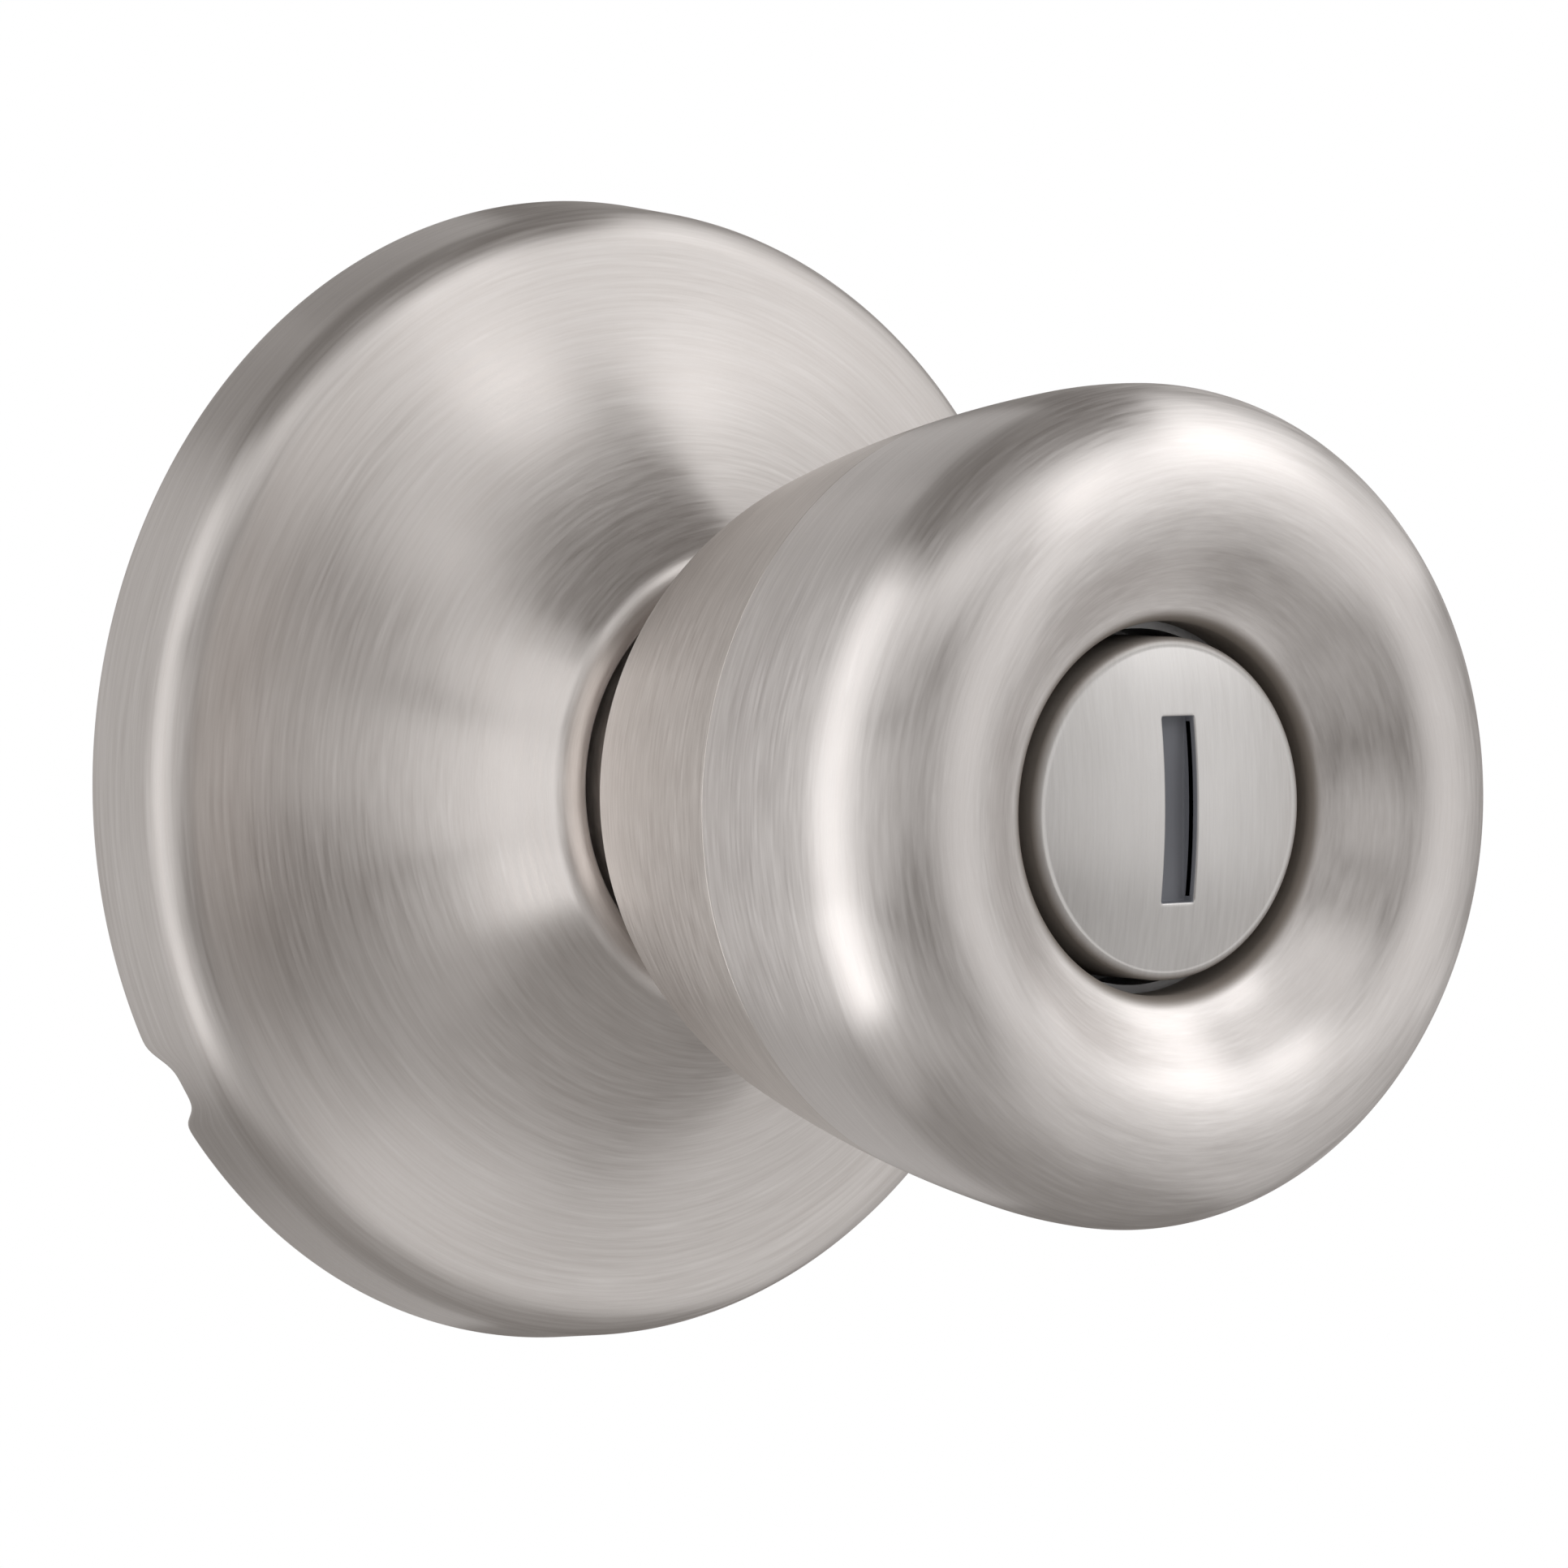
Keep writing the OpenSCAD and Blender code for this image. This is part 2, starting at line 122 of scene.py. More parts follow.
SUBJECT = Vector((0, -0.029, 0))
VIEW_AZIMUTH = radians(-37.44)
VIEW_ELEVATION = radians(2.83)
EYE = Vector((-0.3295, -0.4513, 0.0268))
LENS = 217.9


def direction(azimuth, elevation):
    """Unit vector: azimuth 0 is -Y and 90 is +X, in degrees, and elevation goes up."""
    a = radians(azimuth)
    e = radians(elevation)
    return Vector((sin(a) * cos(e), -cos(a) * cos(e), sin(e)))


def make_camera():
    """Long lens from the left front, turned so that its back lies along the viewing direction."""
    data = bpy.data.cameras.new("camera")
    data.lens = LENS
    data.sensor_width = 36
    data.clip_start = 0.05
    camera = bpy.data.objects.new("camera", data)
    bpy.context.scene.collection.objects.link(camera)
    back = direction(degrees(VIEW_AZIMUTH), degrees(VIEW_ELEVATION))
    right = Vector((cos(VIEW_AZIMUTH), sin(VIEW_AZIMUTH), 0))
    up = back.cross(right)
    camera.matrix_world = Matrix.Translation(EYE) @ Matrix((right, up, back)).transposed().to_4x4()
    bpy.context.scene.camera = camera


def make_panel(name, lit, azimuth, elevation, width, height, radiance):
    """Soft rectangular light that faces the knob; width and height are the angles it fills. A lit
    word other than "all" keeps the light to the pieces of that collection."""
    data = bpy.data.lights.new(name, "AREA")
    data.shape = "RECTANGLE"
    data.size = 2 * PANEL_DISTANCE * tan(radians(width / 2))
    data.size_y = 2 * PANEL_DISTANCE * tan(radians(height / 2))
    data.energy = 4 * radiance * data.size * data.size_y
    panel = bpy.data.objects.new(name, data)
    bpy.context.scene.collection.objects.link(panel)
    panel.location = SUBJECT + PANEL_DISTANCE * direction(azimuth, elevation)
    panel.rotation_euler = direction(azimuth, elevation).to_track_quat("Z", "Y").to_euler()
    panel.visible_camera = False
    if lit != "all":
        panel.light_linking.receiver_collection = LIT[lit]


def make_world():
    """White for the eye, and a soft warm grey for everything that the metal mirrors."""
    world = bpy.data.worlds.new("studio")
    bpy.context.scene.world = world
    world.use_nodes = True
    tree = world.node_tree
    tree.nodes.clear()
    seen = tree.nodes.new("ShaderNodeBackground")
    seen.inputs["Color"].default_value = (1, 1, 1, 1)
    mirrored = tree.nodes.new("ShaderNodeBackground")
    mirrored.inputs["Color"].default_value = (*ROOM_TINT, 1)
    mirrored.inputs["Strength"].default_value = ROOM_LIGHT
    path = tree.nodes.new("ShaderNodeLightPath")
    mix = tree.nodes.new("ShaderNodeMixShader")
    out = tree.nodes.new("ShaderNodeOutputWorld")
    tree.links.new(path.outputs["Is Camera Ray"], mix.inputs["Fac"])
    tree.links.new(mirrored.outputs[0], mix.inputs[1])
    tree.links.new(seen.outputs[0], mix.inputs[2])
    tree.links.new(mix.outputs[0], out.inputs["Surface"])


ROOM_TINT = (1.0, 0.93, 0.87)
ROOM_LIGHT = 0.15
FLOOR_Z = -0.95
FLOOR_R = 1.6
FLOOR_SIDES = 96
PANEL_DISTANCE = 0.9
# the pieces that a light can be kept to
LIT = {"door_side": bpy.data.collections.new("lit_door_side"),
       "knob_side": bpy.data.collections.new("lit_knob_side"),
       "hardware": bpy.data.collections.new("lit_hardware")}
PANELS = [
    # name, lit pieces, azimuth, elevation, width and height in degrees, radiance
    ("low_left_box", "all", -60, -40, 50, 34, 0.16),
    ("left_front_box", "all", -48, -2, 26, 34, 0.35),
    ("front_box", "all", -20, 6, 28, 24, 0.2),
    ("right_front_box", "all", 35, 3, 54, 32, 0.49),
    ("front_top_box", "all", 2, 44, 44, 34, 0.46),
    ("left_top_box", "all", -46, 37, 34, 32, 0.32),
    ("right_top_box", "all", 42, 34, 42, 32, 0.52),
    ("far_right_top_box", "all", 84, 34, 46, 44, 0.42),
    ("back_right_box", "all", 165, 0, 34, 90, 0.3),
    ("back_left_box", "all", -165, 5, 32, 90, 0.16),
    ("left_strip", "door_side", -78, 0, 24, 90, 0.5),
    ("left_tall_box", "door_side", -78, -6, 36, 124, 0.32),
    ("left_back_box", "door_side", -128, 0, 50, 90, 0.25),
    ("low_right_box", "door_side", 60, -32, 84, 38, 0.3),
    ("left_box", "knob_side", -100, 0, 36, 104, 0.62),
    ("left_wide_box", "knob_side", -106, -4, 72, 126, 0.38),
    ("left_under_box", "knob_side", -116, -44, 46, 46, 0.2),
    ("high_right_box", "knob_side", 70, 46, 50, 30, 0.22),
    ("right_middle_box", "knob_side", 44, 27, 44, 22, 0.26),
    ("knob_top_box", "knob_side", 4, 54, 80, 22, 0.12),
    ("low_box", "all", 0, -42, 46, 40, 0.14),
    ("low_right_fill", "knob_side", 62, -32, 80, 36, 0.26),
    ("right_box", "knob_side", 78, 0, 30, 34, 0.3),
    ("hardware_top_box", "hardware", -160, 40, 70, 50, 0.9),
    ("hardware_side_box", "hardware", 130, 0, 40, 80, 0.5),
]

make_camera()
make_world()
for panel in PANELS:
    make_panel(*panel)
bpy.context.scene.view_settings.view_transform = "Standard"


# ---------------------------------------------------------------- outlines


def heading(a):
    """Unit vector at a degrees in the radius and height plane."""
    return np.array([cos(radians(a)), sin(radians(a))])


def walk(start, a, legs, step):
    """Outline from start with heading a: [length] goes straight, [radius, turn] turns left for a
    positive turn. An arc's points are start + radius * (side - side turned by the part walked),
    where side is the unit vector from the centre, and they stand about a step apart."""
    at = np.array(start, float)
    points = []
    for leg in legs:
        turn = leg[1] if len(leg) == 2 else 0
        length = leg[0] * abs(radians(turn)) if turn else leg[0]
        count = max(2, int(np.ceil(length / step)), int(np.ceil(abs(turn) / 6)))
        part = np.linspace(0, 1, count + 1)[1:, None]
        if turn:
            side = a + 90 * np.sign(turn)
            angle = np.radians(side + turn * part)
            line = at + leg[0] * (heading(side) - np.hstack([np.cos(angle), np.sin(angle)]))
        else:
            line = at + leg[0] * part * heading(a)
        points.append(line)
        at = line[-1]
        a += turn
    return np.vstack([[start], *points])


def inset(legs, depth):
    """The same legs moved to the left by a depth."""
    return [[leg[0] - np.sign(leg[1]) * depth, leg[1]] if len(leg) == 2 else leg for leg in legs]


def sheet_outline(start, a, legs, wall, step, inner_step):
    """Closed outline of a pressed sheet: along its outside, and back along its inside."""
    outside = walk(start, a, legs, step)
    inside = walk(np.array(start) + wall * heading(a + 90), a, inset(legs, wall), inner_step)
    return np.vstack([outside, inside[::-1]])


def soften(outline, radius, closed=True, sharp=20, count=4):
    """Rounds each sharp corner: the points nearer to it than the radius give way to the curve
    (1-t)^2 A + 2t(1-t) C + t^2 B, from A before the corner C to B after it."""
    before = outline - np.roll(outline, 1, axis=0)
    after = np.roll(outline, -1, axis=0) - outline
    turn = np.degrees(np.arctan2(before[:, 0] * after[:, 1] - before[:, 1] * after[:, 0],
                                 (before * after).sum(1)))
    corners = np.flatnonzero(np.abs(turn) > sharp)
    if not closed:
        corners = corners[(corners > 0) & (corners < len(outline) - 1)]
    keep = np.ones(len(outline), bool)
    for c in corners:
        keep &= np.hypot(*(outline - outline[c]).T) > radius
    t = np.linspace(0, 1, count + 1)[:, None]
    pieces = []
    last = 0
    for c in corners:
        into = before[c] / np.hypot(*before[c])
        out_of = after[c] / np.hypot(*after[c])
        pieces.append(outline[last:c][keep[last:c]])
        start = outline[c] - radius * into
        end = outline[c] + radius * out_of
        pieces.append((1 - t) ** 2 * start + 2 * t * (1 - t) * outline[c] + t ** 2 * end)
        last = c + 1
    pieces.append(outline[last:][keep[last:]])
    return np.vstack(pieces)


def solve_pair(first, second, total):
    """Lengths p and q for which p * first + q * second = total."""
    return np.linalg.solve(np.column_stack([first, second]), total)


def rose_legs():
    """Side band, shoulder, straight and hollow face, lip and the short tube under the lip."""
    shoulder_start = np.array([ROSE_R - ROSE_BAND_H * tan(radians(ROSE_DRAFT)), ROSE_BAND_H])
    shoulder_turn = 90 - ROSE_DRAFT - FACE_SLOPE
    shoulder = walk(shoulder_start, 90 + ROSE_DRAFT, [[SHOULDER_R, shoulder_turn]], 1)[-1]
    lip = np.array([MOUTH_R + LIP_R * (1 + sin(radians(HUB_SLOPE))),
                    ROSE_H - LIP_R * (1 - cos(radians(HUB_SLOPE)))])
    hollow = heading(90 - FACE_SLOPE) - heading(90 - HUB_SLOPE)
    face_l, hollow_r = solve_pair(heading(180 - FACE_SLOPE), hollow, lip - shoulder)
    return [[ROSE_BAND_H / cos(radians(ROSE_DRAFT))], [SHOULDER_R, shoulder_turn], [face_l],
            [hollow_r, FACE_SLOPE - HUB_SLOPE], [LIP_R, 90 + HUB_SLOPE], [LIP_DROP]]


def flank_low_end():
    """Where the cone's bend meets the long flank."""
    crown = np.array([KNOB_R - CROWN_R, CREST_H - RIM_R])
    top = crown + CROWN_R * heading(-CROWN_ANGLE)
    return top - FLANK_R * (heading(-CROWN_ANGLE) - heading(-FLANK_ANGLE))


def seam_turn():
    """How many degrees of the flank lie in the rear shell."""
    rise = (SEAM_H - flank_low_end()[1]) / FLANK_R
    return FLANK_ANGLE - degrees(asin(sin(radians(FLANK_ANGLE)) - rise))


def rear_legs():
    """Cone, bend and the first stretch of the flank."""
    bend = heading(-FLANK_ANGLE) - heading(-CONE_ANGLE)
    run = flank_low_end() - np.array([NECK_R, NECK_TOP])
    cone_l, bend_r = solve_pair(heading(90 - CONE_ANGLE), bend, run)
    return [[cone_l], [bend_r, CONE_ANGLE - FLANK_ANGLE], [FLANK_R, seam_turn()]]


def front_legs():
    """Rest of the flank, crown, rim, dish and the wall of the recess round the plug."""
    dish_l = (KNOB_R - RIM_R - RECESS_R - RECESS_EDGE_R * (1 - sin(radians(DISH_END_SLOPE)))
              - DISH_RIM_R * sin(radians(DISH_SLOPE))
              - DISH_HOLLOW_R * (sin(radians(DISH_SLOPE)) - sin(radians(DISH_END_SLOPE)))
              ) / cos(radians(DISH_SLOPE))
    legs = [[FLANK_R, FLANK_ANGLE - CROWN_ANGLE - seam_turn()], [CROWN_R, CROWN_ANGLE], [RIM_R, 90],
            [DISH_RIM_R, DISH_SLOPE], [dish_l], [DISH_HOLLOW_R, DISH_END_SLOPE - DISH_SLOPE],
            [RECESS_EDGE_R, 90 - DISH_END_SLOPE]]
    end = walk(seam_point(), seam_heading(), legs, 1)[-1]
    return legs + [[end[1] - RECESS_FLOOR]]


def seam_point():
    return walk(flank_low_end(), 90 - FLANK_ANGLE, [[FLANK_R, seam_turn()]], 1)[-1]


def seam_heading():
    return 90 - FLANK_ANGLE + seam_turn()


# ---------------------------------------------------------------- surfaces


def make_mesh(name, points, faces, uv, body, stands_for):
    """Smooth mesh from points in millimetres, faces of point numbers, and one UV pair per corner."""
    mesh = bpy.data.meshes.new(name)
    mesh.from_pydata(points * MM, [], faces if isinstance(faces, list) else faces.tolist())
    layer = mesh.uv_layers.new(name="outline")
    layer.data.foreach_set("uv", uv.astype(np.float32).ravel())
    mesh.polygons.foreach_set("use_smooth", np.ones(len(faces), bool))
    mesh.update()
    piece = bpy.data.objects.new(name, mesh)
    bpy.context.scene.collection.objects.link(piece)
    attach(piece, body)
    if stands_for:
        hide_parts(*stands_for)
    return piece


def grid_faces(rows, columns):
    """Quads of a grid that closes on itself both ways, as point numbers and as UV corner numbers."""
    i, j = np.meshgrid(np.arange(rows), np.arange(columns), indexing="ij")
    corners = [(i, j), (i, j + 1), (i + 1, j + 1), (i + 1, j)]
    faces = np.stack([(a % rows) * columns + b % columns for a, b in corners], -1)
    uv_numbers = np.stack([a * (columns + 1) + b for a, b in corners], -1)
    return faces.reshape(-1, 4), uv_numbers.reshape(-1)


def spun(outline, angles, lift=None):
    """Outline carried round the axis: x = r cos(angle), y = -h, z = r sin(angle). lift(r, h, angle)
    may move the radius and the height of each point. UV is (distance along the outline in metres,
    part of a full turn). The outline keeps the metal on its left, so faces point outwards."""
    r, h = [np.repeat(q[:, None], len(angles), 1) for q in outline.T]
    a = np.repeat(angles[None, :], len(outline), 0)
    if lift is not None:
        r, h = lift(r, h, a)
    points = np.stack([r * np.cos(a), -h, r * np.sin(a)], -1).reshape(-1, 3)
    faces, uv_numbers = grid_faces(len(outline), len(angles))
    edges = np.hypot(*(np.roll(outline, -1, axis=0) - outline).T)
    along = np.concatenate([[0], np.cumsum(edges)]) * MM
    turn = np.append(angles, angles[0] + 2 * pi) / (2 * pi)
    uv = np.stack(np.meshgrid(along, turn, indexing="ij"), -1).reshape(-1, 2)[uv_numbers]
    return points, faces, uv


def even_angles(count):
    return np.arange(count) * 2 * pi / count


def angles_with_detail(count, centre, half, detail):
    """Even angles, with finer ones within half degrees of a centre in degrees; gives radians."""
    coarse = centre + np.linspace(half, 360 - half, count)
    fine = centre + np.linspace(-half, half, detail + 1)[1:-1]
    return np.radians(np.sort(np.concatenate([coarse, fine])))


def notch_lift(r, h, a):
    """Raises the foot of the side band round the notch. The lift is a flat-topped bell,
    NOTCH_H * exp(-(t / half) ** 4) with t the way round from the notch's middle, and it fades out
    linearly up the band."""
    t = ROSE_R * ((a - radians(NOTCH_ANGLE) + pi) % (2 * pi) - pi)
    bell = NOTCH_H * np.exp(-(t / (0.5 * NOTCH_W)) ** 4)
    share = np.clip(1 - h / ROSE_BAND_H, 0, 1) * (r > ROSE_R - NOTCH_REACH)
    return r - share * bell * tan(radians(ROSE_DRAFT)), h + share * bell


def ring_of_circle(phi, radius, height):
    return np.stack([radius * np.cos(phi), height + 0 * phi, radius * np.sin(phi)], -1)


def ring_of_slot(phi, grow, corner):
    """Rounded rectangle round the slot: in phi, a long side takes 136 degrees, a corner 4 and a
    short side 36."""
    half_w = SLOT_W / 2 + grow
    half_l = SLOT_L / 2 + grow
    knots = np.radians([0, 68, 69, 70, 71, 72, 90])
    turn = np.radians([0, 22.5, 45, 67.5, 90])
    x = [half_w, *(half_w - corner + corner * np.cos(turn)), 0]
    z = [0, *(half_l - corner + corner * np.sin(turn)), half_l]
    fold = np.abs((phi + pi / 2) % pi - pi / 2)
    side = np.sign(np.cos(phi))
    rise = np.sign(np.sin(phi))
    return side * np.interp(fold, knots, x), rise * np.interp(fold, knots, z)


def dome_height(x, z):
    return PLUG_TOP - DOME_R + np.sqrt(DOME_R ** 2 - x ** 2 - z ** 2)


def plug_rings(count):
    """Closed rings of the plug, from the middle of the slot's floor out over the dome, round the
    edge, down the side and in to the axis at the back. A dome ring is (1-s) * slot outline +
    s * circle, lifted to the dome."""
    phi = even_angles(count) + pi / count
    floor = PLUG_TOP - SLOT_DEPTH
    rings = []
    for grow, height in ((-0.75, floor), (-0.12, floor), (-0.03, floor + 0.03), (0, floor + 0.12)):
        x, z = ring_of_slot(phi, grow, SLOT_CORNER_R)
        rings.append(np.stack([x, height + 0 * x, z], -1))
    for depth in (0.6, 0.3):
        x, z = ring_of_slot(phi, 0, SLOT_CORNER_R)
        rings.append(np.stack([x, dome_height(x, z) - SLOT_DEPTH * depth, z], -1))
    for grow, drop in ((0, SLOT_ROUNDING), (0.015, 0.07), (0.06, 0.018), (SLOT_ROUNDING, 0)):
        x, z = ring_of_slot(phi, grow, SLOT_CORNER_R + grow)
        rings.append(np.stack([x, dome_height(x, z) - drop, z], -1))
    edge = PLUG_R - PLUG_EDGE_R
    for s in np.linspace(0, 1, DOME_RINGS + 1)[1:]:
        x, z = ring_of_slot(phi, SLOT_ROUNDING, SLOT_CORNER_R + SLOT_ROUNDING)
        x = (1 - s) * x + s * edge * np.cos(phi)
        z = (1 - s) * z + s * edge * np.sin(phi)
        rings.append(np.stack([x, dome_height(x, z), z], -1))
    side = walk([edge, PLUG_EDGE_H + PLUG_EDGE_R], 0, [[PLUG_EDGE_R, -90]], 0.1)[1:]
    back = [[PLUG_R, PLUG_BACK], [STEM_R, PLUG_BACK], [STEM_R, STEM_LOW], [0.6, STEM_LOW]]
    tail = soften(np.vstack([side, back]), 0.2, closed=False)
    rings += [ring_of_circle(phi, r, h) for r, h in tail]
    return np.array(rings)


def plug_surface(count=288):
    """The rings joined into one skin, with a fan at each end. UV is (x, z) in metres."""
    rings = plug_rings(count)
    rings[..., 1] *= -1
    rows = len(rings)
    points = rings.reshape(-1, 3)
    i, j = np.meshgrid(np.arange(rows - 1), np.arange(count), indexing="ij")
    quads = np.stack([i * count + j, (i + 1) * count + j,
                      (i + 1) * count + (j + 1) % count, i * count + (j + 1) % count], -1)
    quads = quads.reshape(-1, 4)
    first = rings[0].mean(0)
    last = rings[-1].mean(0)
    k = np.arange(count)
    start_fan = np.stack([np.full(count, rows * count), k, (k + 1) % count], -1)
    base = (rows - 1) * count
    end_fan = np.stack([np.full(count, rows * count + 1), base + (k + 1) % count, base + k], -1)
    points = np.vstack([points, first, last])
    faces = quads.tolist() + start_fan.tolist() + end_fan.tolist()
    flat = np.concatenate([quads.ravel(), start_fan.ravel(), end_fan.ravel()])
    return points, faces, points[flat][:, [0, 2]] * MM


def make_rose():
    """The pressed rose, with its lower inner edge cut level with the door face."""
    outline = sheet_outline([ROSE_R, 0], 90 + ROSE_DRAFT, rose_legs(), ROSE_WALL, 0.3, 0.9)
    outline[:, 1] = np.maximum(outline[:, 1], 0)
    angles = angles_with_detail(280, NOTCH_ANGLE, 9, 60)
    points, faces, uv = spun(soften(outline, ROSE_EDGE), angles, notch_lift)
    return make_mesh("rose_sheet", points, faces, uv, "door_side", ["rose"])


def make_rear_shell():
    """Neck, cone, bend and the start of the flank; the neck is thicker than the sheet."""
    legs = rear_legs()
    neck = np.array([NECK_R, NECK_TOP])
    outside = walk(neck, 90 - CONE_ANGLE, legs, 0.35)
    inside = walk(neck + SHELL_WALL * heading(180 - CONE_ANGLE), 90 - CONE_ANGLE,
                  inset(legs, SHELL_WALL), 1)
    neck_inside = [[NECK_R - NECK_WALL, NECK_TOP], [NECK_R - NECK_WALL, NECK_LOW]]
    outline = np.vstack([[[NECK_R, NECK_LOW]], outside, inside[::-1], neck_inside])
    points, faces, uv = spun(soften(outline, SEAM_EDGE), even_angles(KNOB_SIDES))
    return make_mesh("knob_rear", points, faces, uv, "knob", ["knob_rear_shell"])


def make_front_shell():
    """Flank, crown, rim, dish and recess wall in one sheet."""
    outline = sheet_outline(seam_point(), seam_heading(), front_legs(), FRONT_WALL, 0.3, 0.8)
    points, faces, uv = spun(soften(outline, SEAM_EDGE), even_angles(KNOB_SIDES))
    return make_mesh("knob_front", points, faces, uv, "knob", ["knob_front_shell"])


def make_plug():
    points, faces, uv = plug_surface()
    return make_mesh("plug_face", points, faces, uv, "release", ["release_plug"])


# ---------------------------------------------------------------- materials


def feed(tree, socket, value):
    """Links a socket into another one, or sets its value."""
    if isinstance(value, bpy.types.NodeSocket):
        tree.links.new(value, socket)
    else:
        socket.default_value = value


def maths(tree, operation, a, b=0.0):
    """Math node on two values or sockets; gives its output."""
    node = tree.nodes.new("ShaderNodeMath")
    node.operation = operation
    for socket, value in zip(node.inputs, (a, b)):
        feed(tree, socket, value)
    return node.outputs[0]


def vector_maths(tree, operation, a, b=(0, 0, 0)):
    """Vector Math node on two vectors or sockets; gives its vector."""
    node = tree.nodes.new("ShaderNodeVectorMath")
    node.operation = operation
    for socket, value in zip(node.inputs, (a, b)):
        feed(tree, socket, value)
    return node.outputs[0]


def spread(tree, value, low, high, to_low=0.0, to_high=1.0):
    """Map Range from low..high to another range, held at its ends."""
    node = tree.nodes.new("ShaderNodeMapRange")
    tree.links.new(value, node.inputs["Value"])
    for name, number in (("From Min", low), ("From Max", high), ("To Min", to_low), ("To Max", to_high)):
        node.inputs[name].default_value = number
    return node.outputs[0]


def new_group(name, inputs, outputs):
    """Empty shader node group with float, vector or colour sockets; gives its tree and both ends."""
    tree = bpy.data.node_groups.new(name, "ShaderNodeTree")
    for word, kind in inputs:
        tree.interface.new_socket(word, in_out="INPUT", socket_type="NodeSocket" + kind)
    for word, kind in outputs:
        tree.interface.new_socket(word, in_out="OUTPUT", socket_type="NodeSocket" + kind)
    return tree, tree.nodes.new("NodeGroupInput"), tree.nodes.new("NodeGroupOutput")


def use_group(tree, group, **inputs):
    """Places a node group in a material with its own values."""
    node = tree.nodes.new("ShaderNodeGroup")
    node.node_tree = group
    for key, value in inputs.items():
        feed(tree, node.inputs[key.replace("_", " ").title()], value)
    return node


def scaled(tree, vector, scale):
    """Vector times a number or a float socket."""
    node = tree.nodes.new("ShaderNodeVectorMath")
    node.operation = "SCALE"
    tree.links.new(vector, node.inputs[0])
    feed(tree, node.inputs["Scale"], scale)
    return node.outputs[0]


def noise(tree, vector, scale, detail=2.0, roughness=0.5):
    """Noise texture on a vector; gives its value."""
    node = tree.nodes.new("ShaderNodeTexNoise")
    tree.links.new(vector, node.inputs["Vector"])
    node.inputs["Scale"].default_value = scale
    node.inputs["Detail"].default_value = detail
    node.inputs["Roughness"].default_value = roughness
    return node.outputs["Fac"]


def turned_grain_group():
    """Brush lines that run round the axis. The pattern's place is the unit vector from the axis
    times Sweep, plus the distance along the outline times a line density, so a line is long round
    the axis, narrow across it, and closes on itself. Sweep is how often it changes in one turn."""
    tree, given, result = new_group(
        "turned_grain",
        [("Position", "Vector"), ("Along", "Float"), ("Density", "Float"), ("Sweep", "Float")],
        [("Fine", "Float"), ("Broad", "Float"), ("Scratch", "Float")])
    flat = vector_maths(tree, "MULTIPLY", given.outputs["Position"], (1, 0, 1))
    around = vector_maths(tree, "NORMALIZE", flat)

    def lines(sweep, density, shift, detail):
        turned = scaled(tree, around, maths(tree, "MULTIPLY", given.outputs["Sweep"], sweep))
        across = maths(tree, "MULTIPLY", given.outputs["Along"],
                       maths(tree, "MULTIPLY", given.outputs["Density"], density))
        lift = tree.nodes.new("ShaderNodeCombineXYZ")
        tree.links.new(maths(tree, "ADD", across, shift), lift.inputs["Y"])
        return noise(tree, vector_maths(tree, "ADD", turned, lift.outputs[0]), 1, detail, 0.6)

    tree.links.new(spread(tree, lines(1, 1, 0, 3), 0.3, 0.7), result.inputs["Fine"])
    tree.links.new(spread(tree, lines(0.3, 0.12, 40, 2), 0.25, 0.75), result.inputs["Broad"])
    tree.links.new(spread(tree, lines(0.9, 0.6, 90, 1), 0.62, 0.76), result.inputs["Scratch"])
    return tree


def straight_grain_group():
    """Brush lines that run along Z: noise squeezed across X by Density and along Z by Sweep."""
    tree, given, result = new_group(
        "straight_grain",
        [("Position", "Vector"), ("Density", "Float"), ("Sweep", "Float")],
        [("Fine", "Float"), ("Broad", "Float"), ("Scratch", "Float")])
    for word, sweep, density, shift, detail, low, high in (
            ("Fine", 1, 1, 0, 3, 0.3, 0.7), ("Broad", 0.5, 0.12, 40, 2, 0.3, 0.7),
            ("Scratch", 0.6, 0.5, 90, 1, 0.66, 0.76)):
        squeeze = tree.nodes.new("ShaderNodeCombineXYZ")
        for axis, number, source in (("X", density, "Density"), ("Y", 0.3 * density, "Density"),
                                     ("Z", sweep, "Sweep")):
            tree.links.new(maths(tree, "MULTIPLY", given.outputs[source], number), squeeze.inputs[axis])
        place = vector_maths(tree, "MULTIPLY", given.outputs["Position"], squeeze.outputs[0])
        value = noise(tree, vector_maths(tree, "ADD", place, (shift, 0, 0)), 1, detail, 0.6)
        tree.links.new(spread(tree, value, low, high), result.inputs[word])
    return tree


def handling_group():
    """Faint cloudy marks of hands and cloths: soft noise, a few millimetres to centimetres wide."""
    tree, given, result = new_group(
        "handling", [("Position", "Vector"), ("Scale", "Float")], [("Marks", "Float")])
    place = scaled(tree, given.outputs["Position"], given.outputs["Scale"])
    tree.links.new(spread(tree, noise(tree, place, 1, 3, 0.55), 0.35, 0.7), result.inputs["Marks"])
    return tree


def pebble_group():
    """Fine pebbled grain of cast, plated or moulded parts: mixed noise and cell distance."""
    tree, given, result = new_group(
        "pebble", [("Position", "Vector"), ("Scale", "Float")], [("Height", "Float"), ("Blotch", "Float")])
    place = scaled(tree, given.outputs["Position"], given.outputs["Scale"])
    cells = tree.nodes.new("ShaderNodeTexVoronoi")
    tree.links.new(place, cells.inputs["Vector"])
    cells.inputs["Scale"].default_value = 1
    grain = noise(tree, place, 1.7, 3, 0.6)
    height = maths(tree, "ADD", maths(tree, "MULTIPLY", cells.outputs["Distance"], 0.4), grain)
    tree.links.new(height, result.inputs["Height"])
    tree.links.new(spread(tree, noise(tree, place, 0.12), 0.35, 0.65), result.inputs["Blotch"])
    return tree


